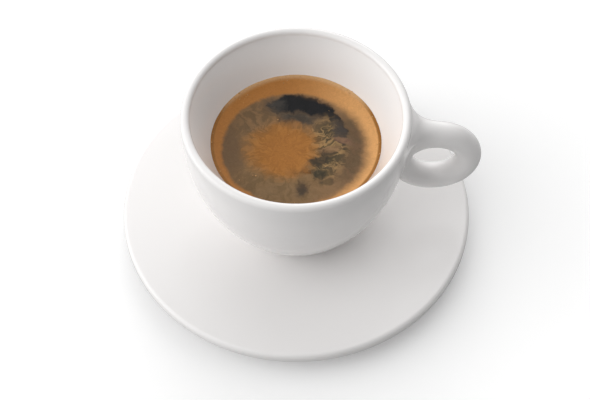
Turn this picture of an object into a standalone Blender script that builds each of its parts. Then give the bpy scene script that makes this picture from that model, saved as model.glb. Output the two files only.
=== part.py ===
"""A black coffee in a thick-walled porcelain cup with a ring handle, standing on its saucer.

Metres, +Z up. The origin is the middle of the saucer's foot, on the surface that it stands on.
The cup's handle points along +X. Saucer, cup and coffee are three solids, turned about the Z axis.
"""
import math

import bpy
from mathutils import Vector

MM = 0.001

# Steps on round shapes, and the room between pieces that touch
TURN_STEPS = 72
ROUND_STEPS = 4
DISH_STEPS = 7
WALL_STEPS = 14
RING_STEPS = 48
RING_SECTION_STEPS = 16
GAP = 0.3 * MM
MERGE = 0.01 * MM

# Saucer: a broad, gently dished plate with a thick rounded edge, on a low foot ring
SAUCER_RADIUS = 72.8 * MM
SAUCER_TOP = 12.5 * MM
SAUCER_EDGE = 5.2 * MM
SAUCER_EDGE_ROUND = 2.0 * MM
SAUCER_DISH = 3.3 * MM
SEAT_RADIUS = 25.0 * MM
DISH_END = 67.0 * MM
SAUCER_FOOT_RADIUS = 40.0 * MM
SAUCER_FOOT_WIDTH = 4.0 * MM
SAUCER_FOOT_HEIGHT = 3.6 * MM
SAUCER_FOOT_DRAFT = 1.2 * MM

# Cup: its outside runs from the foot to a nearly upright rim, its inside is a steeper egg
CUP_HEIGHT = 65.8 * MM
CUP_RADIUS = 45.0 * MM
CUP_FOOT_RADIUS = 22.1 * MM
CUP_FULLNESS = 2.4
CUP_FOOT_WIDTH = 3.6 * MM
CUP_FOOT_HEIGHT = 2.4 * MM
LIP = 3.7 * MM
BOTTOM = 7.0 * MM
INSIDE_FLARE = 0.535
INSIDE_DEPTH = 26.0 * MM
FLOOR_REACH = 25.0 * MM

# Ring handle: a round ring that overlaps the wall, its top drawn up into the rim in a hollow curve
RING_MIDDLE = 55.3 * MM
RING_DROP = 27.3 * MM
RING_RADIUS = 13.7 * MM
RING_THICKNESS = 10.7 * MM
WEB_REACH = 8.8 * MM
WEB_RISE = 9.3 * MM
WEB_CURVE = 1.3
WEB_ROOT = 2.0 * MM

# Coffee
COFFEE_DROP = 18.5 * MM

SEAT_HEIGHT = SAUCER_TOP - SAUCER_DISH
CUP_BASE = SEAT_HEIGHT + GAP
CUP_TOP = CUP_BASE + CUP_HEIGHT
COFFEE_LEVEL = CUP_TOP - COFFEE_DROP


def clear_scene():
    """Remove what the file holds, so that the model is made from nothing."""
    for thing in list(bpy.data.objects):
        bpy.data.objects.remove(thing, do_unlink=True)


def collection(name):
    """A new collection in the scene."""
    made = bpy.data.collections.new(name)
    bpy.context.scene.collection.children.link(made)
    return made


def material(name, colour, roughness, metallic=0.0):
    """A Principled material of one colour."""
    made = bpy.data.materials.new(name)
    made.use_nodes = True
    shader = made.node_tree.nodes["Principled BSDF"]
    shader.inputs["Base Color"].default_value = (*colour, 1.0)
    shader.inputs["Roughness"].default_value = roughness
    shader.inputs["Metallic"].default_value = metallic
    return made


def arc(centre, radius, start, end, steps):
    """Points (r, z) on a round stretch, from one angle in degrees to another, both ends included."""
    angles = [math.radians(start + (end - start) * i / steps) for i in range(steps + 1)]
    return [(centre[0] + radius * math.cos(a), centre[1] + radius * math.sin(a)) for a in angles]


def bezier(points, steps):
    """Points on the cubic curve that four control points give, both ends included."""
    found = []
    for i in range(steps + 1):
        t = i / steps
        weights = ((1 - t) ** 3, 3 * t * (1 - t) ** 2, 3 * t * t * (1 - t), t ** 3)
        found.append(tuple(sum(w * p[k] for w, p in zip(weights, points)) for k in (0, 1)))
    return found


def turned(name, profile, home, finish):
    """A solid of revolution: its profile runs from the axis over the top, down the outside, to the axis."""
    mesh = bpy.data.meshes.new(name)
    edges = [(i, i + 1) for i in range(len(profile) - 1)]
    mesh.from_pydata([(r, 0.0, z) for r, z in profile], edges, [])
    made = bpy.data.objects.new(name, mesh)
    home.objects.link(made)
    mesh.materials.append(finish)
    screw = made.modifiers.new("turn", "SCREW")
    screw.axis = "Z"
    screw.angle = math.tau
    screw.steps = TURN_STEPS
    screw.render_steps = TURN_STEPS
    screw.use_merge_vertices = True
    screw.merge_threshold = MERGE
    screw.use_smooth_shade = True
    return made


def dish_height(r):
    """Height of the saucer's upper face: level where the cup stands, then a smooth rise to the edge."""
    t = min(max((r - SEAT_RADIUS) / (DISH_END - SEAT_RADIUS), 0.0), 1.0)
    return SEAT_HEIGHT + SAUCER_DISH * t * t * (3 - 2 * t)


def saucer_profile():
    """The dished upper face, the thick rounded edge, the sloping underside and the foot ring."""
    rise = [SEAT_RADIUS + (DISH_END - SEAT_RADIUS) * i / DISH_STEPS for i in range(1 + DISH_STEPS)]
    upper = [(0.0, SEAT_HEIGHT)] + [(r, dish_height(r)) for r in rise]
    inset = SAUCER_RADIUS - SAUCER_EDGE_ROUND
    edge = arc((inset, SAUCER_TOP - SAUCER_EDGE_ROUND), SAUCER_EDGE_ROUND, 90, 0, ROUND_STEPS)
    lower = SAUCER_TOP - SAUCER_EDGE + SAUCER_EDGE_ROUND
    edge += arc((inset, lower), SAUCER_EDGE_ROUND, 0, -80, ROUND_STEPS)
    root = SAUCER_FOOT_RADIUS + SAUCER_FOOT_DRAFT
    inner = SAUCER_FOOT_RADIUS - SAUCER_FOOT_WIDTH
    foot = [
        (root, SAUCER_FOOT_HEIGHT),
        (SAUCER_FOOT_RADIUS, 0.0),
        (inner, 0.0),
        (inner - SAUCER_FOOT_DRAFT, SAUCER_FOOT_HEIGHT),
        (0.0, SAUCER_FOOT_HEIGHT),
    ]
    return upper + edge + foot


def cup_outside(height):
    """Outer radius of the bowl at a height above the cup's foot, up to where the lip starts to round."""
    up = min(height / (CUP_HEIGHT - LIP / 2), 1.0)
    return CUP_FOOT_RADIUS + (CUP_RADIUS - CUP_FOOT_RADIUS) * (1 - (1 - up) ** CUP_FULLNESS)


def inside_controls():
    """The four control points of the cup's inner wall, from the middle of its floor to the lip."""
    floor = CUP_BASE + BOTTOM
    lip_radius = CUP_RADIUS - LIP
    start = CUP_TOP - LIP / 2
    return [
        (0.0, floor),
        (FLOOR_REACH, floor),
        (lip_radius - INSIDE_FLARE * INSIDE_DEPTH, start - INSIDE_DEPTH),
        (lip_radius, start),
    ]


def cup_profile():
    """Inner wall, rounded lip, full-bodied outside, and the foot with its hollow."""
    inner = bezier(inside_controls(), WALL_STEPS)
    lip = arc((CUP_RADIUS - LIP / 2, CUP_TOP - LIP / 2), LIP / 2, 180, 0, 2 * ROUND_STEPS)
    wall = CUP_HEIGHT - LIP / 2
    falls = [wall * (1 - i / WALL_STEPS) for i in range(1, WALL_STEPS)]
    outer = [(cup_outside(height), CUP_BASE + height) for height in falls]
    ring_inner = CUP_FOOT_RADIUS - CUP_FOOT_WIDTH
    foot = [
        (CUP_FOOT_RADIUS, CUP_BASE),
        (ring_inner, CUP_BASE),
        (ring_inner - CUP_FOOT_HEIGHT / 2, CUP_BASE + CUP_FOOT_HEIGHT),
        (0.0, CUP_BASE + CUP_FOOT_HEIGHT),
    ]
    return inner + lip[1:] + outer + foot


def coffee_profile():
    """The drink: level on top, and following the inner wall below at a small distance."""
    wall = bezier(inside_controls(), WALL_STEPS)
    skin = [(0.0, wall[0][1] + GAP)]
    for before, here, after in zip(wall, wall[1:], wall[2:]):
        along = Vector((after[0] - before[0], after[1] - before[1])).normalized()
        point = (here[0] - along.y * GAP, here[1] + along.x * GAP)
        if point[1] >= COFFEE_LEVEL:
            share = (COFFEE_LEVEL - skin[-1][1]) / (point[1] - skin[-1][1])
            brim = skin[-1][0] + share * (point[0] - skin[-1][0])
            break
        skin.append(point)
    return [(0.0, COFFEE_LEVEL), (brim, COFFEE_LEVEL)] + skin[::-1]


def web_rise(x):
    """How far the top of the ring is drawn up at a distance from the axis: most at the cup's wall."""
    if x < CUP_RADIUS:
        return WEB_RISE * max(0.0, 1 - (CUP_RADIUS - x) / WEB_ROOT)
    return WEB_RISE * max(0.0, 1 - (x - CUP_RADIUS) / WEB_REACH) ** WEB_CURVE


def ring_handle(name, home):
    """The ring of the handle, as a closed body that overlaps the bowl's wall."""
    bpy.ops.mesh.primitive_torus_add(
        major_radius=RING_RADIUS,
        minor_radius=RING_THICKNESS / 2,
        major_segments=RING_STEPS,
        minor_segments=RING_SECTION_STEPS,
        location=(RING_MIDDLE, 0.0, CUP_TOP - RING_DROP),
        rotation=(math.pi / 2, 0.0, 0.0),
    )
    made = bpy.context.object
    made.name = name
    for owner in list(made.users_collection):
        owner.objects.unlink(made)
    home.objects.link(made)
    made.hide_render = True
    made.display_type = "WIRE"
    for vertex in made.data.vertices:
        outward = (math.hypot(vertex.co.x, vertex.co.y) - RING_RADIUS) / (RING_THICKNESS / 2)
        if vertex.co.y > 0 and outward > 0:
            vertex.co.y += outward * web_rise(RING_MIDDLE + vertex.co.x)
    return made


def join(body, other):
    """Fuse another closed body to this one."""
    union = body.modifiers.new("join " + other.name, "BOOLEAN")
    union.operation = "UNION"
    union.solver = "EXACT"
    union.object = other


def build():
    """Make the saucer, the cup with its handle, and the coffee."""
    clear_scene()
    parts = collection("americano")
    cutters = collection("americano shapes to join")
    glaze = material("glazed porcelain", (0.87, 0.87, 0.86), 0.08)
    brew = material("black coffee with crema", (0.21, 0.10, 0.035), 0.25)
    turned("saucer", saucer_profile(), parts, glaze)
    cup = turned("cup", cup_profile(), parts, glaze)
    join(cup, ring_handle("ring handle", cutters))
    turned("coffee", coffee_profile(), parts, brew)


build()
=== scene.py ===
"""Looks of a black coffee in a thick-walled porcelain cup with a ring handle, standing on its saucer.

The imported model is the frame: each piece here stands where its CAD node stands, and replaces it. Sizes are in
millimetres and become metres where a mesh is made. +Z is up, the handle points along +X, and the camera
stands on the -Y side.
"""
import logging
import math
from dataclasses import dataclass
from enum import Enum
from functools import partial
from itertools import product
from typing import Any, Callable, Iterable, Optional, Union

import bpy
import numpy as np
from mathutils import Matrix, Vector, noise


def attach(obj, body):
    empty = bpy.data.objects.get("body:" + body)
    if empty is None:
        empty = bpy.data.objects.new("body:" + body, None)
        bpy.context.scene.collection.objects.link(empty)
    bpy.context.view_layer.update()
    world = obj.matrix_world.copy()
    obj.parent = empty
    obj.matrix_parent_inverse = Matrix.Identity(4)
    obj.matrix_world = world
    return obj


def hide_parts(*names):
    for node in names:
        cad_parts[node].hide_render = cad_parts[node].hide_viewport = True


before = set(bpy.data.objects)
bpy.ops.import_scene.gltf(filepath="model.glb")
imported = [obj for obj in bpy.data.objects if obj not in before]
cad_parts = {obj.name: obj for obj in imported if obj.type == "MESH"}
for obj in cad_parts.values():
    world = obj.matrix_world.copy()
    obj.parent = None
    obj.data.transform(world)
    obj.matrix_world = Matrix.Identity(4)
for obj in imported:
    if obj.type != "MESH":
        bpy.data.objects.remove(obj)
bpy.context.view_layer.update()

MM = 0.001
BODY = "root"

# The most of a stretch that the rounding of a corner takes, and how near points are welded
CORNER_SHARE = 0.45
WELD = 0.001 * MM

# Where a noise texture's values mostly lie, and how far they swing from their middle
NOISE_LOW, NOISE_HIGH = 0.3, 0.7
NOISE_SWING = 0.25

# The higher this is, the rarer are the large ones among the bubbles
LARGE_RARITY = 3.0

# Settings that many nodes share
ADD = {"operation": "ADD"}
SUBTRACT = {"operation": "SUBTRACT"}
MULTIPLY = {"operation": "MULTIPLY"}
SCALE = {"operation": "SCALE"}
LENGTH = {"operation": "LENGTH"}
SMOOTH = {"interpolation_type": "SMOOTHSTEP"}
COLOURS = {"data_type": "RGBA"}
SHARES = {"data_type": "FLOAT"}
PLACES = {"data_type": "VECTOR"}

Profile = list[tuple[float, float]]
Field = Callable[[np.ndarray], np.ndarray]
Source = Union[bpy.types.Node, bpy.types.NodeSocket]
Adder = Callable[..., bpy.types.Node]


class Slot(Enum):
    """The record's material slots, by name."""

    PORCELAIN = "glazed_porcelain"
    COFFEE = "black_coffee"


# Small tools for curves, nodes and meshes


def round_stretch(
    centre: tuple[float, float], radius: float, start: float, end: float, steps: int
) -> Profile:
    """Points on a round stretch, both ends included.

    Args:
        centre: radius and height of its centre, in mm.
        radius: its radius, in mm.
        start: angle that it starts at, in degrees, 0 outwards and 90 up.
        end: angle that it ends at.
        steps: number of steps.

    Returns:
        Points as (radius, height), in mm.
    """
    angles = [math.radians(start + (end - start) * i / steps) for i in range(steps + 1)]
    return [(centre[0] + radius * math.cos(a), centre[1] + radius * math.sin(a)) for a in angles]


def bezier(controls: Profile, steps: int) -> Profile:
    """Points on the curve that three or four control points give, both ends included.

    Args:
        controls: the control points.
        steps: number of steps.

    Returns:
        Points as (radius, height), in mm.
    """
    degree = len(controls) - 1
    found = []
    for i in range(steps + 1):
        t = i / steps
        weights = [math.comb(degree, k) * t**k * (1 - t) ** (degree - k) for k in range(degree + 1)]
        found.append(tuple(sum(w * p[axis] for w, p in zip(weights, controls)) for axis in (0, 1)))
    return found


def eased(corners: Profile, reach: float, steps: int) -> Profile:
    """Round the inner corners of a line of points, as a glaze or a sponge does.

    Args:
        corners: the points, of which the first and the last stay.
        reach: how far from a corner its rounding starts, in mm.
        steps: steps in each rounding.

    Returns:
        The line with its corners rounded.
    """
    found = [corners[0]]
    for before, here, after in zip(corners, corners[1:], corners[2:]):
        ends = []
        for other in (before, after):
            share = min(reach / math.dist(here, other), CORNER_SHARE)
            ends.append(tuple(h + share * (o - h) for h, o in zip(here, other)))
        found += bezier([ends[0], here, ends[1]], steps)
    return found + [corners[-1]]


def close_set(line: Profile, spacing: float) -> np.ndarray:
    """Put points into the long stretches of a line.

    Args:
        line: the line's points.
        spacing: the most that two points may lie apart, in mm.

    Returns:
        The line with more points, as an array.
    """
    found = [line[0]]
    for start, end in zip(line, line[1:]):
        steps = math.ceil(math.dist(start, end) / spacing)
        found += [tuple(a + (b - a) * (i + 1) / steps for a, b in zip(start, end)) for i in range(steps)]
    return np.array(found)


def smooth_step(value: np.ndarray, start: float, end: float) -> np.ndarray:
    """Rise smoothly from 0 at the start to 1 at the end."""
    t = np.clip((value - start) / (end - start), 0.0, 1.0)
    return t * t * (3 - 2 * t)


def linear_colour(code: str) -> tuple[float, float, float, float]:
    """Turn an sRGB hex value into the linear colour that Blender takes.

    Args:
        code: the colour, such as "#f4efe6".

    Returns:
        Linear red, green, blue and an alpha of 1.
    """
    parts = [int(code[i : i + 2], 16) / 255 for i in (1, 3, 5)]
    return (*[p / 12.92 if p <= 0.04045 else ((p + 0.055) / 1.055) ** 2.4 for p in parts], 1.0)


def add_node(
    tree: bpy.types.NodeTree, kind: str, settings: Optional[dict[str, Any]] = None, **inputs: Any
) -> bpy.types.Node:
    """Add a node with its settings, and set or link its inputs.

    Args:
        tree: the shader or geometry tree that gets the node.
        kind: Blender's name for the node's type.
        settings: the node's own properties, such as an operation.
        inputs: for each input, by its name with _ for a space, or i and its number: a value, an output
            socket, or a node, of which the first output in use is taken.

    Returns:
        The new node.
    """
    node = tree.nodes.new(kind)
    for name, value in (settings or {}).items():
        setattr(node, name, value)
    for key, value in inputs.items():
        socket = node.inputs[int(key[1:])] if key[1:].isdigit() else node.inputs[key.replace("_", " ")]
        if isinstance(value, bpy.types.Node):
            value = next(output for output in value.outputs if output.enabled)
        if isinstance(value, bpy.types.NodeSocket):
            tree.links.new(value, socket)
        else:
            socket.default_value = value
    return node


def new_object(name: str, points: Iterable, edges: Iterable = (), faces: Iterable = ()) -> bpy.types.Object:
    """Make a mesh object at the origin.

    Args:
        name: name of the piece.
        points: its vertices, in mm.
        edges: pairs of vertices, where it has no faces.
        faces: its faces.

    Returns:
        The object, linked to the scene.
    """
    mesh = bpy.data.meshes.new(name)
    mesh.from_pydata([tuple(MM * c for c in point) for point in points], list(edges), list(faces))
    made = bpy.data.objects.new(name, mesh)
    bpy.context.scene.collection.objects.link(made)
    return made


def run_tree(piece: bpy.types.Object, tree: bpy.types.NodeTree, values: dict[str, Any]) -> None:
    """Run a geometry tree on a piece and keep its result as the piece's plain mesh.

    Args:
        piece: the object whose mesh the tree starts from.
        tree: the geometry tree.
        values: a value for each of the tree's named inputs.
    """
    modifier = piece.modifiers.new(tree.name, "NODES")
    modifier.node_group = tree
    for item in tree.interface.items_tree:
        if item.in_out == "INPUT" and item.name in values:
            modifier[item.identifier] = values[item.name]
    graph = bpy.context.evaluated_depsgraph_get()
    result = bpy.data.meshes.new_from_object(piece.evaluated_get(graph))
    piece.modifiers.remove(modifier)
    piece.data = result
    result.name = piece.name


def new_geometry_tree(
    name: str, **inputs: str
) -> tuple[bpy.types.NodeTree, bpy.types.bpy_prop_collection]:
    """Start a geometry tree with named inputs.

    Args:
        name: name of the tree.
        inputs: kind of value for each named input after the geometry.

    Returns:
        The tree, and the sockets that give its inputs, by their names.
    """
    tree = bpy.data.node_groups.new(name, "GeometryNodeTree")
    tree.interface.new_socket("Geometry", in_out="INPUT", socket_type="NodeSocketGeometry")
    for label, kind in inputs.items():
        tree.interface.new_socket(label, in_out="INPUT", socket_type="NodeSocket" + kind)
    tree.interface.new_socket("Geometry", in_out="OUTPUT", socket_type="NodeSocketGeometry")
    return tree, add_node(tree, "NodeGroupInput").outputs


def turning_tree() -> bpy.types.NodeTree:
    """Build the tree that turns a line of points about the Z axis, as a potter's wheel and a template do.

    Returns:
        The tree. It bends a flat grid: across it runs the turn, along it run the points of the line.
    """
    tree, take = new_geometry_tree(
        "turned on the wheel", Points="Int", Sides="Int", Weld="Float", Finish="Material"
    )
    add = partial(add_node, tree)
    columns = add("ShaderNodeMath", ADD, i0=take["Sides"], i1=1.0)
    grid = add(
        "GeometryNodeMeshGrid", Size_X=1.0, Size_Y=1.0, Vertices_X=columns, Vertices_Y=take["Points"]
    )
    place = add("GeometryNodeInputPosition")
    flat = add("ShaderNodeSeparateXYZ", i0=place)
    turn = add("ShaderNodeMapRange", i0=flat.outputs["X"], i1=-0.5, i2=0.5, i3=0.0, i4=math.tau)
    last = add("ShaderNodeMath", SUBTRACT, i0=take["Points"], i1=1.0)
    row = add("ShaderNodeMapRange", i0=flat.outputs["Y"], i1=-0.5, i2=0.5, i3=0.0, i4=last)
    index = add("ShaderNodeMath", {"operation": "ROUND"}, i0=row)
    point = add(
        "GeometryNodeSampleIndex",
        {"data_type": "FLOAT_VECTOR", "domain": "POINT"},
        Geometry=take["Geometry"],
        Value=place,
        Index=index,
    )
    turned = add("ShaderNodeVectorRotate", {"rotation_type": "Z_AXIS"}, Vector=point, Angle=turn)
    bent = add("GeometryNodeSetPosition", Geometry=grid, Position=turned)
    welded = add("GeometryNodeMergeByDistance", Geometry=bent, Distance=take["Weld"])
    outward = add("GeometryNodeFlipFaces", Mesh=welded)
    shaded = add("GeometryNodeSetShadeSmooth", Geometry=outward)
    real = add("GeometryNodeRealizeInstances", Geometry=shaded)
    done = add("GeometryNodeSetMaterial", Geometry=real, Material=take["Finish"])
    add("NodeGroupOutput", Geometry=done)
    return tree


def turned_piece(name: str, profile: Profile, sides: int, finish: bpy.types.Material) -> bpy.types.Object:
    """Turn a profile about the Z axis into a closed piece with its faces outward.

    Args:
        name: name of the piece.
        profile: points from the axis over the top, down the outside, back to the axis.
        sides: number of steps round the axis.
        finish: its material.

    Returns:
        The piece.
    """
    points = [(r, 0.0, z) for r, z in profile]
    piece = new_object(name, points, [(i, i + 1) for i in range(len(points) - 1)])
    values = {"Points": len(points), "Sides": sides, "Weld": WELD, "Finish": finish}
    run_tree(piece, turning_tree(), values)
    return piece


def hand_over(piece: bpy.types.Object, slot: Slot, *nodes: str) -> bpy.types.Object:
    """Tell the frame which body a piece rides on, and hide the CAD nodes that it replaces.

    Args:
        piece: the finished piece.
        slot: the record's material slot; not used.
        nodes: CAD nodes that it stands for.

    Returns:
        The same piece.
    """
    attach(piece, BODY)
    if nodes:
        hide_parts(*nodes)
    return piece


# Finishes


@dataclass(frozen=True)
class Finish:
    """A finish: a Principled shader over a pattern that sits still on its piece."""

    name: str

    def surface(self, add: Adder, place: Source) -> dict[str, Any]:
        """Build the pattern.

        Args:
            add: adds a node to the material's tree.
            place: the piece's own coordinates, in metres.

        Returns:
            A value or a source for each of the shader's inputs that it sets.
        """
        raise NotImplementedError

    def material(self) -> bpy.types.Material:
        """Build the material.

        Returns:
            The node material.
        """
        made = bpy.data.materials.new(self.name)
        made.use_nodes = True
        made.node_tree.nodes.clear()
        add = partial(add_node, made.node_tree)
        place = add("ShaderNodeTexCoord").outputs["Object"]
        shader = add("ShaderNodeBsdfPrincipled", **self.surface(add, place))
        add("ShaderNodeOutputMaterial", Surface=shader)
        return made


@dataclass(frozen=True)
class GlazedPorcelain(Finish):
    """White hard porcelain under a clear, glossy glaze.

    The glaze gives sharp reflections of the studio that waver a little, because it flowed in the kiln. A foot
    stands on the kiln's shelf, so its ring is wiped bare before firing and stays matt and a little darker.
    The bare clay's grain is drawn coarser than it is, so that it shows.
    """

    bare_below: float
    body: str = "#f2f0ef"
    biscuit: str = "#dcd6cb"
    gloss: float = 0.16
    biscuit_roughness: float = 0.7
    glaze_ior: float = 1.5
    wave: float = 11.0
    wave_height: float = 0.03
    grain: float = 0.35
    grain_height: float = 0.02
    glaze_edge: float = 0.25

    def surface(self, add: Adder, place: Source) -> dict[str, Any]:
        """Build the waves of the glaze and the bare foot.

        Args:
            add: adds a node to the material's tree.
            place: the piece's own coordinates, in metres.

        Returns:
            The shader's inputs.
        """
        waves = add(
            "ShaderNodeTexNoise", Vector=place, Scale=1 / (self.wave * MM), Detail=1.0, Roughness=0.4
        )
        grains = add("ShaderNodeTexNoise", Vector=place, Scale=1 / (self.grain * MM), Detail=2.0)
        height = add("ShaderNodeSeparateXYZ", i0=place).outputs["Z"]
        low, high = self.bare_below * MM, (self.bare_below + self.glaze_edge) * MM
        bare = add("ShaderNodeMapRange", SMOOTH, i0=height, i1=low, i2=high, i3=1.0, i4=0.0)
        body, biscuit = linear_colour(self.body), linear_colour(self.biscuit)
        colour = add("ShaderNodeMix", COLOURS, i0=bare, i6=body, i7=biscuit)
        roughness = add("ShaderNodeMapRange", i0=bare, i3=self.gloss, i4=self.biscuit_roughness)
        flow = add("ShaderNodeBump", Strength=1.0, Distance=self.wave_height * MM, Height=waves)
        rough = add("ShaderNodeMath", MULTIPLY, i0=grains, i1=bare)
        relief = add(
            "ShaderNodeBump", Strength=1.0, Distance=self.grain_height * MM, Height=rough, Normal=flow
        )
        return {"Base Color": colour, "Roughness": roughness, "IOR": self.glaze_ior, "Normal": relief}


@dataclass(frozen=True)
class Oval:
    """An oval in the plane of the surface, in mm, X towards the handle.

    `edge` is the share of its radius over which it fades, inwards and outwards.
    """

    at: tuple[float, float]
    reach: tuple[float, float]
    turn: float
    edge: float

    def share(self, x: float, y: float) -> float:
        """How far a place lies inside.

        Args:
            x: its place towards the handle, in mm.
            y: its place away from the camera, in mm.

        Returns:
            1 well inside, 0 outside.
        """
        turn = math.radians(self.turn)
        dx, dy = x - self.at[0], y - self.at[1]
        along = (dx * math.cos(turn) + dy * math.sin(turn)) / self.reach[0]
        across = (dy * math.cos(turn) - dx * math.sin(turn)) / self.reach[1]
        return 1 - float(smooth_step(np.array(math.hypot(along, across)), 1 - self.edge, 1 + self.edge))

    def mask(self, add: Adder, place: Source) -> Source:
        """Build the same share as nodes.

        Args:
            add: adds a node to the material's tree.
            place: coordinates in mm.

        Returns:
            The share, from 0 to 1.
        """
        local = add(
            "ShaderNodeMapping",
            {"vector_type": "TEXTURE"},
            Vector=place,
            Location=(*self.at, 0.0),
            Rotation=(0.0, 0.0, math.radians(self.turn)),
            Scale=(*self.reach, 1.0),
        )
        away = add("ShaderNodeVectorMath", LENGTH, i0=local)
        near, far = 1 - self.edge, 1 + self.edge
        return add("ShaderNodeMapRange", SMOOTH, i0=away, i1=near, i2=far, i3=1.0, i4=0.0)


@dataclass(frozen=True)
class Cloud(Oval):
    """A cloud in the film on the coffee: an oval of one tone, veined with another.

    `cover` is how much of what lies below it hides, `bare` how far it is liquid without foam, and `hole` an
    oval that is left out of it.
    """

    name: str
    tone: str
    vein: str
    cover: float = 1.0
    bare: float = 0.0
    hole: Optional[Oval] = None


OPENING_HOLE = Oval((-1.5, 0.5), (18.6, 14.2), 0, 0.12)
OPENING = Cloud((0.8, 4.2), (19.3, 19.5), 0, 0.06, "opening", "#08080a", "#0f0e11", 1, 1, OPENING_HOLE)


@dataclass(frozen=True)
class CremaOnCoffee(Finish):
    """Black coffee under a thin broken film of crema, the fine foam of its oils.

    The foam is a dense golden brown along the wall, where it gathers, and a thin veil further in. Where it is
    torn open, the drink shows almost black and mirrors the cup. Light patches keep a faint reddish brown.
    The froth's cells are drawn coarser than they are, so that they show.

    The ring's tones and ovals come in twos, away from the handle and towards it, and those of its rim in
    front and behind. The ring's paler tone towards the handle is painted light, for the brighter light on
    that side. The `turns` are where one passes into the other, in mm from the axis.
    """

    name: str = "black coffee with crema"
    veil: str = "#7e6143"
    water_ior: float = 1.34
    shine: float = 0.3
    foam_roughness: float = 0.42
    liquid_roughness: float = 0.08
    broad_drift: tuple[float, float] = (9.0, 1.6)
    fine_drift: tuple[float, float] = (2.4, 1.1)
    heart: tuple[float, float] = (-5.0, -4.0)
    rays_round: float = 8.0
    ray_length: float = 4.5
    vein_step: tuple[float, float] = (0.42, 0.58)
    grain_size: float = 0.9
    grain_contrast: float = 0.1
    froth: float = 0.42
    froth_height: float = 0.03
    ring_drift: float = 0.35
    # Away from the handle and towards it: the paler second tone is painted light, not a paler crema
    ring_tones_with_painted_light: tuple[str, str] = ("#ae743a", "#d69f64")
    ring_ovals: tuple[Oval, Oval] = (
        Oval((-1.0, -3.0), (28.5, 27.6), 0, 0.035),
        Oval((-1.5, -3.4), (30.0, 27.2), 0, 0.10),
    )
    ring_turns: tuple[float, float] = (-6.0, 30.0)
    rim_tones: tuple[str, str] = ("#96642c", "#d2aa7c")
    rim_ovals: tuple[Oval, Oval] = (
        Oval((0.0, 0.0), (32.7, 32.7), 0, 0.012),
        Oval((0.0, 0.0), (32.8, 32.8), 0, 0.05),
    )
    rim_turns: tuple[float, float] = (12.0, 26.0)

    def clouds(self) -> tuple[Cloud, ...]:
        """The clouds in the order in which they lie over each other."""
        return (
            Cloud((-9, -6), (20, 19), 0, 0.35, "brown halo", "#8d6c45", "#7e603e", 0.9),
            Cloud((-27, -1), (7, 16), 6, 0.5, "grey side", "#6a523a", "#6f573d", 0.9),
            Cloud((-8, -23), (17, 9), -6, 0.5, "brown front", "#7c6243", "#6e5739", 0.85),
            Cloud((22, -3), (6.5, 17), -6, 0.5, "handle side", "#644c36", "#5c4933", 0.9),
            OPENING,
            Cloud((-9.5, 18), (4.6, 4.0), 20, 0.5, "grey end of the opening", "#3a3631", "#46403a", 0.7, 0.6),
            Cloud((0, 11.5), (9, 3.4), -4, 0.5, "grey under the opening", "#3f3a33", "#34302a", 0.9, 0.4),
            Cloud((-17, 11), (8, 8), 40, 0.45, "brown shoulder", "#826444", "#6c553a", 0.95),
            Cloud((12, -3), (7.5, 14), -6, 0.4, "torn side", "#98794f", "#4a3f2b", 0.95),
            Cloud((17.2, 5.5), (2.6, 6.5), 12, 0.5, "tail of the opening", "#352f2c", "#403833", 0.85, 0.5),
            Cloud((-5.6, -3.8), (13.8, 12.8), 20, 0.32, "foam island", "#a36d34", "#8f5f29", 1.0),
            Cloud((-4, -4), (10, 10), 12, 0.5, "foam heart", "#a26a2e", "#99632b", 0.9),
            Cloud((18.5, 0.5), (3.4, 1.8), -12, 0.5, "pink fleck", "#7f6048", "#725441", 0.9),
            Cloud((13.5, -4.2), (3.8, 1.3), 6, 0.5, "light fleck", "#87694a", "#795b3f", 0.9),
            Cloud((9.8, -8.6), (5.6, 2.5), 30, 0.4, "dark fleck by the heart", "#473928", "#393023", 0.95),
            Cloud((9, -15.8), (3.6, 2.4), 10, 0.5, "dark fleck in front", "#443b29", "#363022", 0.95),
            Cloud((12, -19.2), (2.8, 1.2), 20, 0.5, "dark streak in front", "#56452d", "#473a29", 0.8),
            Cloud((2.2, -22.3), (2.6, 3.4), -15, 0.6, "dark fleck at the front", "#45372a", "#372e25", 0.9),
        )

    def surface(self, add: Adder, place: Source) -> dict[str, Any]:
        """Lay the clouds and the ring over the drink, with grain and froth.

        Args:
            add: adds a node to the material's tree.
            place: the piece's own coordinates, in metres.

        Returns:
            The shader's inputs.
        """
        flat = add("ShaderNodeVectorMath", MULTIPLY, i0=place, i1=(1 / MM, 1 / MM, 0.0))
        drifted = self.drift(add, self.drift(add, flat, *self.broad_drift), *self.fine_drift)
        feathers = add(
            "ShaderNodeTexNoise",
            Vector=self.rays(add, drifted),
            Scale=1.0,
            Detail=3.0,
            Roughness=0.6,
            Distortion=0.35,
        )
        thin, thick = self.vein_step
        veins = add("ShaderNodeMapRange", SMOOTH, i0=feathers, i1=thin, i2=thick)

        colour: Any = linear_colour(self.veil)
        bare: Any = 0.0
        for cloud in self.clouds():
            share = self.cover(add, drifted, cloud)
            tone, vein = linear_colour(cloud.tone), linear_colour(cloud.vein)
            veined = add("ShaderNodeMix", COLOURS, i0=veins, i6=tone, i7=vein)
            colour = add("ShaderNodeMix", COLOURS, i0=share, i6=colour, i7=veined)
            bare = add("ShaderNodeMix", SHARES, i0=share, i2=bare, i3=cloud.bare)
        colour, bare = self.ring(add, drifted, flat, colour, bare)

        grains = add(
            "ShaderNodeTexNoise", Vector=drifted, Scale=1 / self.grain_size, Detail=3.0, Roughness=0.6
        )
        dark, light = 1 - self.grain_contrast, 1 + self.grain_contrast
        shade = add("ShaderNodeMapRange", i0=grains, i1=NOISE_LOW, i2=NOISE_HIGH, i3=dark, i4=light)
        colour = add("ShaderNodeVectorMath", SCALE, i0=colour, Scale=shade)

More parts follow.
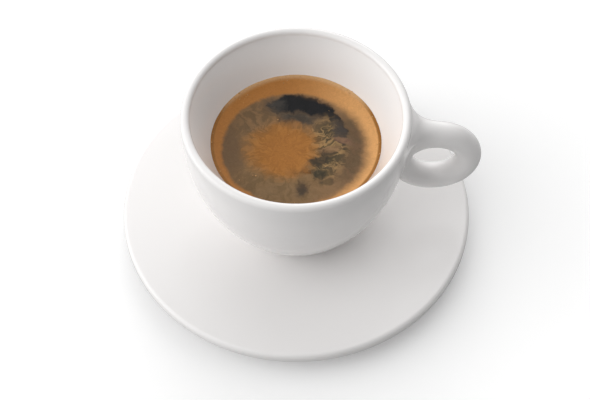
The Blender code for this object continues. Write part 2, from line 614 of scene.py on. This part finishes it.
        cells = add("ShaderNodeTexVoronoi", Vector=flat, Scale=1 / self.froth)
        foam = add("ShaderNodeMath", SUBTRACT, i0=1.0, i1=bare)
        relief = add("ShaderNodeMath", MULTIPLY, i0=cells, i1=foam)
        bump = add("ShaderNodeBump", Strength=1.0, Distance=self.froth_height * MM, Height=relief)
        roughness = add("ShaderNodeMapRange", i0=bare, i3=self.foam_roughness, i4=self.liquid_roughness)
        return {
            "Base Color": colour,
            "Roughness": roughness,
            "IOR": self.water_ior,
            "Specular IOR Level": self.shine,
            "Normal": bump,
        }

    def rays(self, add: Adder, place: Source) -> Source:
        """Coordinates that draw a noise out into feathers, away from the middle of the foam.

        Args:
            add: adds a node to the material's tree.
            place: coordinates in mm.

        Returns:
            The direction from that middle and the distance to it, scaled for the noise.
        """
        away = add("ShaderNodeVectorMath", SUBTRACT, i0=place, i1=(*self.heart, 0.0))
        length = add("ShaderNodeVectorMath", LENGTH, i0=away)
        ahead = add("ShaderNodeVectorMath", {"operation": "NORMALIZE"}, i0=away)
        spread = add("ShaderNodeVectorMath", SCALE, i0=ahead, Scale=self.rays_round)
        depth = add("ShaderNodeMath", {"operation": "DIVIDE"}, i0=length, i1=self.ray_length)
        rise = add("ShaderNodeCombineXYZ", Z=depth)
        return add("ShaderNodeVectorMath", ADD, i0=spread, i1=rise)

    def drift(self, add: Adder, place: Source, length: float, reach: float) -> Source:
        """Push the pattern about, as the drink's slow whirl does.

        Args:
            add: adds a node to the material's tree.
            place: coordinates in mm.
            length: size of the whirls, in mm.
            reach: how far they push, in mm.

        Returns:
            The pushed coordinates.
        """
        whirl = add("ShaderNodeTexNoise", Vector=place, Scale=1 / length, Detail=2.0, Roughness=0.5)
        swing = add("ShaderNodeVectorMath", SUBTRACT, i0=whirl.outputs["Color"], i1=(0.5, 0.5, 0.5))
        full = reach / NOISE_SWING
        push = add("ShaderNodeVectorMath", MULTIPLY, i0=swing, i1=(full, full, 0.0))
        return add("ShaderNodeVectorMath", ADD, i0=place, i1=push)

    def cover(self, add: Adder, place: Source, cloud: Cloud) -> Source:
        """How much a cloud covers at each place.

        Args:
            add: adds a node to the material's tree.
            place: coordinates in mm.
            cloud: the cloud.

        Returns:
            A share from 0 to the cloud's cover.
        """
        share = cloud.mask(add, place)
        if cloud.hole:
            past = add("ShaderNodeMath", SUBTRACT, i0=1.0, i1=cloud.hole.mask(add, place))
            share = add("ShaderNodeMath", MULTIPLY, i0=share, i1=past)
        return add("ShaderNodeMath", MULTIPLY, i0=share, i1=cloud.cover)

    def ring(
        self, add: Adder, drifted: Source, flat: Source, colour: Source, bare: Source
    ) -> tuple[Source, Source]:
        """Lay the dense ring of crema along the wall, broad at the back, with painted light making it lighter
        towards the handle.

        Args:
            add: adds a node to the material's tree.
            drifted: pushed coordinates in mm.
            flat: true coordinates in mm.
            colour: colour of what lies further in.
            bare: how far that is liquid without foam.

        Returns:
            Colour and bareness with the ring laid over them.
        """
        sides = add("ShaderNodeSeparateXYZ", i0=flat)
        start, end = self.ring_turns
        toward = add("ShaderNodeMapRange", SMOOTH, i0=sides.outputs["X"], i1=start, i2=end)
        start, end = self.rim_turns
        behind = add("ShaderNodeMapRange", SMOOTH, i0=sides.outputs["Y"], i1=start, i2=end)

        soft = add("ShaderNodeMix", PLACES, i0=self.ring_drift, i4=flat, i5=drifted)
        firm, faint = (oval.mask(add, soft) for oval in self.ring_ovals)
        within = add("ShaderNodeMix", SHARES, i0=toward, i2=firm, i3=faint)
        share = add("ShaderNodeMath", SUBTRACT, i0=1.0, i1=within)
        # The paler tone towards the handle is painted light: that side of the ring is drawn as if lit brighter
        deep, pale = map(linear_colour, self.ring_tones_with_painted_light)
        tone = add("ShaderNodeMix", COLOURS, i0=toward, i6=deep, i7=pale)

        deep, pale = map(linear_colour, self.rim_tones)
        rim = add("ShaderNodeMix", COLOURS, i0=behind, i6=deep, i7=pale)
        thin, broad = (oval.mask(add, flat) for oval in self.rim_ovals)
        edge = add("ShaderNodeMix", SHARES, i0=behind, i2=thin, i3=broad)
        tone = add("ShaderNodeMix", COLOURS, i0=edge, i6=rim, i7=tone)
        colour = add("ShaderNodeMix", COLOURS, i0=share, i6=colour, i7=tone)
        return colour, add("ShaderNodeMath", MULTIPLY, i0=bare, i1=within)


@dataclass(frozen=True)
class BubbleFilm(Finish):
    """The skin of small bubbles in the crema: thin, wet and golden brown, with a bright glint on each."""

    name: str = "bubble film of crema"
    tone: str = "#c89a66"
    shades: tuple[float, float] = (0.7, 1.15)
    ior: float = 1.34
    roughness: float = 0.12
    patch: float = 4.0

    def surface(self, add: Adder, place: Source) -> dict[str, Any]:
        """Build patches of lighter and darker film.

        Args:
            add: adds a node to the material's tree.
            place: the piece's own coordinates, in metres.

        Returns:
            The shader's inputs.
        """
        cloud = add("ShaderNodeTexNoise", Vector=place, Scale=1 / (self.patch * MM), Detail=2.0)
        dark, light = self.shades
        shade = add("ShaderNodeMapRange", i0=cloud, i1=NOISE_LOW, i2=NOISE_HIGH, i3=dark, i4=light)
        colour = add("ShaderNodeVectorMath", SCALE, i0=linear_colour(self.tone)[:3], Scale=shade)
        return {"Base Color": colour, "Roughness": self.roughness, "IOR": self.ior}


@dataclass(frozen=True)
class PaperSweep(Finish):
    """The studio's matt white paper, which carries only soft shadows.

    The print shows the paper lighter than it was, so it lights the object from below with a darker tone.
    Its fibres are drawn coarser than they are.
    """

    name: str = "matt white paper"
    tone: str = "#fdfdfd"
    bounce: str = "#b4b4b4"
    glow: float = 0.1
    roughness: float = 0.9
    shine: float = 0.1
    fibre: float = 1.5
    fibre_height: float = 0.02
    fibre_strength: float = 0.1

    def surface(self, add: Adder, place: Source) -> dict[str, Any]:
        """Build the paper's fibres and its two tones.

        Args:
            add: adds a node to the material's tree.
            place: the piece's own coordinates, in metres.

        Returns:
            The shader's inputs.
        """
        fibres = add("ShaderNodeTexNoise", Vector=place, Scale=1 / (self.fibre * MM), Detail=3.0)
        bump = add(
            "ShaderNodeBump", Strength=self.fibre_strength, Distance=self.fibre_height * MM, Height=fibres
        )
        seen = add("ShaderNodeLightPath").outputs["Is Camera Ray"]
        bounce, tone = linear_colour(self.bounce), linear_colour(self.tone)
        return {
            "Base Color": add("ShaderNodeMix", COLOURS, i0=seen, i6=bounce, i7=tone),
            "Roughness": self.roughness,
            "Specular IOR Level": self.shine,
            "Emission Color": tone,
            "Emission Strength": self.glow,
            "Normal": bump,
        }


# Solids given by a distance, and the net of faces laid over them


class TurnedDistance:
    """Signed distance, in mm, to a solid of revolution, kept as a table over radius and height."""

    # Cells between points of the line, and how far short of the table's end a look-up stops
    LINE_CELLS = 4
    LAST_CELL = 1.001

    def __init__(self, profile: Profile, reach: float, cell: float) -> None:
        """Measure the table.

        Args:
            profile: fine points from the axis over the top, down the outside, back to the axis.
            reach: how far the table goes past the profile, in mm.
            cell: spacing of the table, in mm.
        """
        line = close_set(profile, self.LINE_CELLS * cell)
        self.cell = cell
        self.low = float(line[:, 1].min() - reach)
        radii = np.arange(0.0, line[:, 0].max() + reach, cell)
        heights = np.arange(self.low, line[:, 1].max() + reach, cell)
        starts, spans = line[:-1], np.diff(line, axis=0)
        squares = (spans**2).sum(axis=1)
        self.table = np.empty((len(radii), len(heights)))
        for column, height in enumerate(heights):
            here = np.stack([radii, np.full_like(radii, height)], axis=1)
            nearest = ((here[:, None, :] - line[None]) ** 2).sum(axis=2).argmin(axis=1)
            best = np.full(len(radii), np.inf)
            for step in (-1, 0):
                piece = np.clip(nearest + step, 0, len(spans) - 1)
                share = ((here - starts[piece]) * spans[piece]).sum(axis=1) / squares[piece]
                foot = starts[piece] + np.clip(share, 0, 1)[:, None] * spans[piece]
                best = np.minimum(best, np.hypot(*(here - foot).T))
            crossed = (line[:-1, 1] <= height) != (line[1:, 1] <= height)
            share = (height - starts[crossed, 1]) / spans[crossed, 1]
            walls = starts[crossed, 0] + share * spans[crossed, 0]
            inside = (walls[None] > radii[:, None]).sum(axis=1) % 2 == 1
            self.table[:, column] = np.where(inside, -best, best)

    def at(self, points: np.ndarray) -> np.ndarray:
        """Look up the distance.

        Args:
            points: places, in mm, with X, Y and Z along the last axis.

        Returns:
            The distance at each, negative inside.
        """
        across = np.hypot(points[..., 0], points[..., 1]) / self.cell
        up = (points[..., 2] - self.low) / self.cell
        across = np.clip(across, 0, self.table.shape[0] - self.LAST_CELL)
        up = np.clip(up, 0, self.table.shape[1] - self.LAST_CELL)
        i, j = across.astype(int), up.astype(int)
        u, v = across - i, up - j
        low = self.table[i, j] * (1 - u) + self.table[i + 1, j] * u
        high = self.table[i, j + 1] * (1 - u) + self.table[i + 1, j + 1] * u
        return low * (1 - v) + high * v


def slope_of(solid: Field, points: np.ndarray, reach: float) -> np.ndarray:
    """How the distance to a solid changes at points, which is the direction straight out of it.

    Args:
        solid: signed distance at points.
        points: the points, in mm.
        reach: half the step that it is measured over, in mm.

    Returns:
        A vector for each point.
    """
    steps = np.eye(3) * reach
    return np.stack([(solid(points + s) - solid(points - s)) / (2 * reach) for s in steps], axis=-1)


def laid_on(solid: Field, points: np.ndarray, rounds: int, reach: float) -> np.ndarray:
    """Move points straight onto the surface of a solid.

    Args:
        solid: signed distance at points.
        points: the points, in mm.
        rounds: how often they are moved.
        reach: half the step that the slope is measured over, in mm.

    Returns:
        The moved points.
    """
    for _ in range(rounds):
        slope = slope_of(solid, points, reach)
        points = points - (solid(points) / (slope**2).sum(axis=-1))[:, None] * slope
    return points


def net_over(
    solid: Field, low: np.ndarray, high: np.ndarray, cell: float
) -> tuple[np.ndarray, np.ndarray]:
    """Lay a closed net of four-sided faces over a solid that a distance gives.

    Args:
        solid: signed distance at points, negative inside.
        low: lowest corner of the box that holds it, in mm.
        high: highest corner of that box.
        cell: width of a mesh of the net, in mm.

    Returns:
        The points, in mm, and the faces as numbers of their points, outward.
    """
    axes = [np.arange(a, b + cell, cell) for a, b in zip(low, high)]
    values = solid(np.stack(np.meshgrid(*axes, indexing="ij"), axis=-1))
    inside = values < 0
    halves = (slice(0, -1), slice(1, None))
    filled = sum(inside[a, b, c].astype(int) for a, b, c in product(halves, repeat=3))
    cells = np.argwhere((filled > 0) & (filled < 8))
    number = np.full(filled.shape, -1)
    number[tuple(cells.T)] = np.arange(len(cells))

    total, hits = np.zeros((len(cells), 3)), np.zeros(len(cells))
    corners = np.array(list(product((0, 1), repeat=3)))
    for a, b in product(corners, corners):
        if (b - a).sum() != 1 or np.abs(b - a).sum() != 1:
            continue
        first, second = values[tuple((cells + a).T)], values[tuple((cells + b).T)]
        crossed = (first < 0) != (second < 0)
        share = np.where(crossed, first / np.where(crossed, first - second, 1.0), 0.0)
        total += crossed[:, None] * (a + share[:, None] * (b - a))
        hits += crossed
    points = np.array([axis[0] for axis in axes]) + (cells + total / hits[:, None]) * cell

    faces = []
    for main in range(3):
        side, other = (main + 1) % 3, (main + 2) % 3
        near, far = [slice(1, -1)] * 3, [slice(1, -1)] * 3
        near[main], far[main] = halves
        leaves = inside[tuple(near)]
        crossed = np.argwhere(leaves != inside[tuple(far)])
        outward = leaves[tuple(crossed.T)]
        crossed[:, [side, other]] += 1
        around = []
        for step in ((0, 0), (-1, 0), (-1, -1), (0, -1)):
            cell_at = crossed.copy()
            cell_at[:, side] += step[0]
            cell_at[:, other] += step[1]
            around.append(number[tuple(cell_at.T)])
        quads = np.stack(around, axis=1)
        faces.append(np.where(outward[:, None], quads, quads[:, ::-1]))
    return points, np.concatenate(faces)


def evened(points: np.ndarray, faces: np.ndarray) -> np.ndarray:
    """Move each point of a net to the middle of its neighbours.

    Args:
        points: the points.
        faces: the net's faces.

    Returns:
        The moved points.
    """
    starts = np.concatenate([faces.ravel(), np.roll(faces, -1, axis=1).ravel()])
    ends = np.concatenate([np.roll(faces, -1, axis=1).ravel(), faces.ravel()])
    counts = np.bincount(starts, minlength=len(points))
    sums = [np.bincount(starts, weights=points[ends, axis], minlength=len(points)) for axis in range(3)]
    return np.stack(sums, axis=1) / counts[:, None]


# Saucer, cup, coffee


@dataclass
class Saucer:
    """A broad, gently dished plate with a thick rounded edge, on a low foot ring."""

    radius: float = 72.8
    top: float = 12.5
    edge: float = 5.2
    edge_round: float = 2.0
    edge_end: float = -80.0
    dish: float = 3.3
    seat_radius: float = 25.0
    dish_end: float = 67.0
    foot_radius: float = 40.0
    foot_width: float = 4.0
    foot_height: float = 3.6
    foot_draft: float = 1.2
    foot_ease: float = 0.7
    foot_bare: float = 0.25
    sides: int = 288
    rise_steps: int = 36
    edge_steps: int = 12
    ease_steps: int = 5

    @property
    def seat(self) -> float:
        """Height of the level middle, where the cup stands."""
        return self.top - self.dish

    def profile(self) -> Profile:
        """The dished upper face, the rounded edge, the sloping underside and the foot ring.

        Returns:
            Its points, in mm.
        """
        upper = [(0.0, self.seat)]
        for i in range(self.rise_steps + 1):
            r = self.seat_radius + (self.dish_end - self.seat_radius) * i / self.rise_steps
            t = i / self.rise_steps
            upper.append((r, self.seat + self.dish * t * t * (3 - 2 * t)))
        inset = self.radius - self.edge_round
        edge = round_stretch((inset, self.top - self.edge_round), self.edge_round, 90, 0, self.edge_steps)
        lower = self.top - self.edge + self.edge_round
        edge += round_stretch((inset, lower), self.edge_round, 0, self.edge_end, self.edge_steps)
        inner = self.foot_radius - self.foot_width
        foot = [
            edge[-1],
            (self.foot_radius + self.foot_draft, self.foot_height),
            (self.foot_radius, 0.0),
            (inner, 0.0),
            (inner - self.foot_draft, self.foot_height),
            (0.0, self.foot_height),
        ]
        return upper + edge[:-1] + eased(foot, self.foot_ease, self.ease_steps)

    def build(self) -> bpy.types.Object:
        """Turn the saucer and glaze it.

        Returns:
            The finished piece.
        """
        finish = GlazedPorcelain("glazed porcelain of the saucer", self.foot_bare).material()
        piece = turned_piece("saucer_plate", self.profile(), self.sides, finish)
        return hand_over(piece, Slot.PORCELAIN, "saucer")


@dataclass
class Cup:
    """A thick-walled bowl with a rounded lip and a ring handle, of one piece of porcelain.

    The ring runs into the wall in a hollow curve: tight at its lower root and broad at its top, where it is
    drawn up to just under the lip. From the height `web_start` to `web_full` the curve grows from
    `root_blend` to `web_blend`, and from `web_fade` up to the lip it shrinks again.
    """

    base: float = 9.5
    height: float = 65.8
    radius: float = 45.0
    foot_radius: float = 22.1
    fullness: float = 2.4
    foot_width: float = 3.6
    foot_hollow: float = 2.4
    foot_ease: float = 0.6
    foot_bare: float = 0.2
    lip: float = 3.7
    bottom: float = 7.0
    inside_flare: float = 0.535
    inside_depth: float = 26.0
    floor_reach: float = 25.0
    ring_middle: float = 55.3
    ring_drop: float = 27.3
    ring_radius: float = 13.7
    ring_thickness: float = 10.7
    least_blend: float = 0.01
    root_blend: float = 2.5
    web_blend: float = 14.5
    web_start: float = 57.0
    web_full: float = 68.0
    web_fade: float = 70.5
    wall_steps: int = 180
    lip_steps: int = 48
    ease_steps: int = 6
    net_cell: float = 0.8
    table_cell: float = 0.1
    table_margin: float = 1.5
    slope_reach: float = 0.2
    smoothings: int = 3
    settlings: int = 2

    @property
    def top(self) -> float:
        """Height of the lip's top."""
        return self.base + self.height

    def inner_wall(self) -> Profile:
        """The inside, from the middle of the floor to where the lip starts.

        Returns:
            Its points, in mm.
        """
        lip_radius, start = self.radius - self.lip, self.top - self.lip / 2
        floor = self.base + self.bottom
        controls = [
            (0.0, floor),
            (self.floor_reach, floor),
            (lip_radius - self.inside_flare * self.inside_depth, start - self.inside_depth),
            (lip_radius, start),
        ]
        return bezier(controls, self.wall_steps)

    def outer_radius(self, z: np.ndarray) -> np.ndarray:
        """Radius of the outside at a height, from the foot to the lip."""
        up = np.clip((z - self.base) / (self.height - self.lip / 2), 0.0, 1.0)
        return self.foot_radius + (self.radius - self.foot_radius) * (1 - (1 - up) ** self.fullness)

    def profile(self) -> Profile:
        """Inner wall, rounded lip, full-bodied outside, and the foot with its hollow.

        Returns:
            Its points, in mm.
        """
        half = self.lip / 2
        lip = round_stretch((self.radius - half, self.top - half), half, 180, 0, self.lip_steps)
        falls = 1 - np.arange(1, self.wall_steps) / self.wall_steps
        heights = self.base + (self.height - half) * falls
        outer = list(zip(self.outer_radius(heights), heights))
        inner = self.foot_radius - self.foot_width
        foot = [
            outer.pop(),
            (self.foot_radius, self.base),
            (inner, self.base),
            (inner - self.foot_hollow / 2, self.base + self.foot_hollow),
            (0.0, self.base + self.foot_hollow),
        ]
        return self.inner_wall() + lip[1:] + outer + eased(foot, self.foot_ease, self.ease_steps)

    def solid(self) -> Field:
        """The distance to bowl and ring, flowing together where they meet.

        Returns:
            The function that gives it at points.
        """
        bowl = TurnedDistance(self.profile(), self.web_blend + self.table_margin, self.table_cell)
        middle = np.array([self.ring_middle, 0.0, self.top - self.ring_drop])

        def distance(points: np.ndarray) -> np.ndarray:
            """Signed distance to the cup.

            Args:
                points: places, in mm.

            Returns:
                The distance at each, negative inside.
            """
            away = points - middle
            across = np.hypot(away[..., 0], away[..., 2]) - self.ring_radius
            ring = np.hypot(across, away[..., 1]) - self.ring_thickness / 2
            wall = bowl.at(points)
            z = points[..., 2]
            rise = smooth_step(z, self.web_start, self.web_full)
            web = rise * (1 - smooth_step(z, self.web_fade, self.top))
            past = np.hypot(points[..., 0], points[..., 1]) - self.outer_radius(z)
            reach = self.root_blend + (self.web_blend - self.root_blend) * web
            blend = reach * smooth_step(past, -self.lip, 0.0) + self.least_blend
            # The nearer of the two, rounded off over the width of the blend
            near = np.maximum(blend - np.abs(wall - ring), 0.0) / blend
            return np.minimum(wall, ring) - near * near * blend / 4

        return distance

    def build(self) -> bpy.types.Object:
        """Lay a fine net over the cup, smooth it and glaze it.

        Returns:
            The finished piece.
        """
        solid = self.solid()
        room = 2 * self.net_cell
        tip = self.ring_middle + self.ring_radius + self.ring_thickness / 2
        low = np.array([-self.radius - room, -self.radius - room, self.base - room])
        high = np.array([tip + room, self.radius + room, self.top + room])
        points, faces = net_over(solid, low, high, self.net_cell)
        for _ in range(self.smoothings):
            points = laid_on(solid, evened(points, faces), 1, self.slope_reach)
        points = laid_on(solid, points, self.settlings, self.slope_reach)
        normals = slope_of(solid, points, self.slope_reach)
        normals /= np.linalg.norm(normals, axis=1, keepdims=True)
        piece = new_object("cup_with_ring_handle", points.tolist(), faces=faces.tolist())
        piece.data.shade_smooth()
        piece.data.normals_split_custom_set_from_vertices(normals.tolist())
        finish = GlazedPorcelain("glazed porcelain of the cup", self.base + self.foot_bare).material()
        piece.data.materials.append(finish)
        return hand_over(piece, Slot.PORCELAIN, "cup")


@dataclass
class Coffee:
    """The drink: level, drawn up a little where it wets the wall, with a film of crema and small bubbles.

    The bubbles lie in a band along the wall, in clumps, and thinly in clumps over the rest.
    """

    cup: Cup
    drop: float = 18.5
    creep: float = 0.5
    creep_reach: float = 1.3
    sides: int = 256
    spokes: int = 110
    spoke_bias: float = 1.25
    wall_stride: int = 4
    wall_gap: float = 0.1
    surface_slack: float = 0.01
    relief: float = 0.16
    relief_size: float = 6.0
    relief_fractal: tuple[float, float, int] = (1.0, 2.0, 3)
    relief_fade: float = 6.0
    bubble_sizes: tuple[float, float] = (0.12, 0.34)
    bubble_density: float = 0.5
    bubble_spacing: float = 0.35
    bubble_seed: int = 7
    bubble_band: float = 2.4
    bubble_depth: float = 0.3
    clump_size: float = 5.0
    clump_slice: float = 3.0
    band_shares: tuple[float, float] = (0.25, 1.5)
    open_share: float = 0.06

    @property
    def level(self) -> float:
        """Height of the open surface."""
        return self.cup.top - self.drop

    def profile(self) -> Profile:
        """Surface, meniscus and the wall below it.

        Returns:
            Its points, in mm.
        """
        wall = np.array(self.cup.inner_wall())
        rim_height = self.level + self.creep
        rim = float(np.interp(rim_height, wall[:, 1], wall[:, 0]))
        surface = []
        for i in range(self.spokes):
            r = rim * (1 - (1 - i / (self.spokes - 1)) ** self.spoke_bias)
            surface.append((r, self.level + self.creep * math.exp((r - rim) / self.creep_reach)))
        below = wall[wall[:, 1] < rim_height - self.wall_gap][:: -self.wall_stride]
        return surface + [tuple(point) for point in below[:-1]] + [(0.0, float(wall[0, 1]))]

    def build(self) -> list[bpy.types.Object]:
        """Turn the drink, give its film some relief, and float the bubbles on it.

        Returns:
            The drink and its bubbles.
        """
        drink = turned_piece("black_coffee", self.profile(), self.sides, CremaOnCoffee().material())
        rim = self.cup.radius - self.cup.lip
        for vertex in drink.data.vertices:
            x, y, z = (c / MM for c in vertex.co)
            if z > self.level - self.surface_slack:
                from_middle = min(math.hypot(x, y) / rim, 1.0)
                calm = (1 - from_middle**self.relief_fade) * (1 - OPENING.share(x, y))
                place = Vector((x, y, 0.0)) / self.relief_size
                swell = noise.fractal(place, *self.relief_fractal)
                vertex.co.z += MM * self.relief * calm * swell
        bubbles = self.bubbles(drink)
        return [hand_over(drink, Slot.COFFEE, "coffee"), hand_over(bubbles, Slot.COFFEE)]

    def bubbles(self, drink: bpy.types.Object) -> bpy.types.Object:
        """Float small bubbles on the surface, most of them along the wall.

        Args:
            drink: the finished drink, whose upper faces carry them.

        Returns:
            The bubbles, as one plain mesh.
        """
        piece = bpy.data.objects.new("crema_bubbles", drink.data.copy())
        bpy.context.scene.collection.objects.link(piece)
        froth = piece.data.attributes.new("froth", "FLOAT", "POINT")
        rim = float(np.interp(self.level, *np.array(self.cup.inner_wall()).T[::-1]))
        least, more = self.band_shares
        shares = []
        for vertex in piece.data.vertices:
            x, y, z = (c / MM for c in vertex.co)
            band = math.exp(-(((rim - math.hypot(x, y)) / self.bubble_band) ** 2))
            clump = max(0.0, noise.noise(Vector((x, y, self.clump_slice)) / self.clump_size))
            share = band * (least + more * clump) + self.open_share * clump
            shares.append(share if z > self.level - self.bubble_depth else 0.0)
        froth.data.foreach_set("value", shares)
        values = {
            "Density": self.bubble_density / MM**2,
            "Spacing": self.bubble_spacing * MM,
            "Smallest": self.bubble_sizes[0] * MM,
            "Largest": self.bubble_sizes[1] * MM,
            "Seed": self.bubble_seed,
            "Finish": BubbleFilm().material(),
        }
        run_tree(piece, bubble_tree(), values)
        return piece


def bubble_tree() -> bpy.types.NodeTree:
    """Build the tree that floats bubbles on a surface, as thick as its attribute froth says.

    Returns:
        The tree.
    """
    tree, take = new_geometry_tree(
        "bubbles on the surface",
        Density="Float",
        Spacing="Float",
        Smallest="Float",
        Largest="Float",
        Seed="Int",
        Finish="Material",
    )
    add = partial(add_node, tree)
    froth = add("GeometryNodeInputNamedAttribute", {"data_type": "FLOAT"}, Name="froth")
    spread = add(
        "GeometryNodeDistributePointsOnFaces",
        {"distribute_method": "POISSON"},
        Mesh=take["Geometry"],
        Distance_Min=take["Spacing"],
        Density_Max=take["Density"],
        Density_Factor=froth,
        Seed=take["Seed"],
    )
    dice = add("FunctionNodeRandomValue", {"data_type": "FLOAT"}, i2=0.0, i3=1.0, Seed=take["Seed"])
    rare = add("ShaderNodeMath", {"operation": "POWER"}, i0=dice, i1=LARGE_RARITY)
    size = add("ShaderNodeMapRange", i0=rare, i3=take["Smallest"], i4=take["Largest"])
    ball = add("GeometryNodeMeshIcoSphere", Radius=1.0, Subdivisions=2)
    smooth = add("GeometryNodeSetShadeSmooth", Geometry=ball)
    floated = add("GeometryNodeInstanceOnPoints", Points=spread, Instance=smooth, Scale=size)
    real = add("GeometryNodeRealizeInstances", Geometry=floated)
    done = add("GeometryNodeSetMaterial", Geometry=real, Material=take["Finish"])
    add("NodeGroupOutput", Geometry=done)
    return tree


# Studio


@dataclass(frozen=True)
class TentPanel:
    """A lit part of the cloth tent round the object, brightest in its middle and fading evenly.

    `azimuth` is its direction in degrees from +X towards +Y, `height` its angle above the floor, `strength`
    its brightness in the middle, and `tightness` how fast that fades.
    """

    name: str
    azimuth: float
    height: float
    strength: float
    tightness: float = 6.0

    def glow(self, add: Adder, direction: Source) -> Source:
        """Build its brightness in each direction.

        Args:
            add: adds a node to the world's tree.
            direction: the direction that is looked in.

        Returns:
            The brightness.
        """
        turn, rise = math.radians(self.azimuth), math.radians(self.height)
        middle = (math.cos(turn) * math.cos(rise), math.sin(turn) * math.cos(rise), math.sin(rise))
        along = add("ShaderNodeVectorMath", {"operation": "DOT_PRODUCT"}, i0=direction, i1=middle)
        facing = add("ShaderNodeMath", {"operation": "MAXIMUM"}, i0=along, i1=0.0)
        fading = add("ShaderNodeMath", {"operation": "POWER"}, i0=facing, i1=self.tightness)
        return add("ShaderNodeMath", MULTIPLY, i0=fading, i1=self.strength)


@dataclass
class Studio:
    """White paper under a tent of cloth, lit from the left and from behind, and the camera.

    Its own sizes are in metres, its angles in degrees, and lens and sensor in millimetres.
    """

    even: float = 0.02
    floor_width: float = 6.0
    camera_at: tuple[float, float, float] = (0.0, -0.3557, 0.5354)
    pitch: float = 55.59
    yaw: float = -0.08
    roll: float = -0.22
    lens: float = 91.53
    sensor: float = 36.0
    clip_start: float = 0.01

    def panels(self) -> tuple[TentPanel, ...]:
        """The lit parts of the tent."""
        return (
            TentPanel("low behind", 90, 15, 2.63),
            TentPanel("high behind", 90, 50, 0.24),
            TentPanel("high behind the handle", 45, 50, 0.7),
            TentPanel("high beside the handle", 0, 50, 0.2),
            TentPanel("low left", 180, 15, 2.8),
            TentPanel("high front left", 225, 50, 1.56),
            TentPanel("overhead", 0, 90, 0.3, 24.0),
        )

    def build(self) -> None:
        """Lay the floor, light the tent and place the camera."""
        half = self.floor_width / 2 / MM
        corners = [(-half, -half, 0.0), (half, -half, 0.0), (half, half, 0.0), (-half, half, 0.0)]
        floor = new_object("paper_floor", corners, faces=[(0, 1, 2, 3)])
        floor.data.materials.append(PaperSweep().material())
        self.light_tent()
        self.place_camera()
        bpy.context.scene.view_settings.view_transform = "Standard"

    def light_tent(self) -> None:
        """Make the tent the world's light: an even glow and its panels."""
        world = bpy.data.worlds.new("light tent")
        world.use_nodes = True
        world.node_tree.nodes.clear()
        add = partial(add_node, world.node_tree)
        direction = add("ShaderNodeTexCoord").outputs["Generated"]
        light: Any = self.even
        for panel in self.panels():
            light = add("ShaderNodeMath", ADD, i0=panel.glow(add, direction), i1=light)
        cloth = add("ShaderNodeBackground", Color=(1.0, 1.0, 1.0, 1.0), Strength=light)
        add("ShaderNodeOutputWorld", Surface=cloth)
        bpy.context.scene.world = world

    def place_camera(self) -> None:
        """Stand the camera where the photograph was taken from."""
        pitch, yaw, roll = (math.radians(a) for a in (self.pitch, self.yaw, self.roll))
        across = math.cos(pitch)
        ahead = Vector((across * math.sin(yaw), across * math.cos(yaw), -math.sin(pitch)))
        level = Vector((math.cos(yaw), -math.sin(yaw), 0.0))
        upright = level.cross(ahead)
        right = math.cos(roll) * level + math.sin(roll) * upright
        up = math.cos(roll) * upright - math.sin(roll) * level
        data = bpy.data.cameras.new("camera")
        data.lens = self.lens
        data.sensor_width = self.sensor
        data.clip_start = self.clip_start
        made = bpy.data.objects.new("camera", data)
        turn = Matrix((right, up, -ahead)).transposed().to_4x4()
        made.matrix_world = Matrix.Translation(self.camera_at) @ turn
        bpy.context.scene.collection.objects.link(made)
        bpy.context.scene.camera = made


def write_sizes() -> None:
    """Bring the view layer's placements up to date.
    """
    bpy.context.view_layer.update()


def main() -> None:
    """Build saucer, cup and coffee, then the studio round them."""
    logging.basicConfig(level=logging.INFO, format="%(message)s")
    cup = Cup()
    for piece in (Saucer().build(), cup.build(), *Coffee(cup).build()):
        mesh = piece.data
        logging.info("%s: %d points, %d faces", piece.name, len(mesh.vertices), len(mesh.polygons))
    Studio().build()
    write_sizes()


if __name__ == "__main__":
    main()
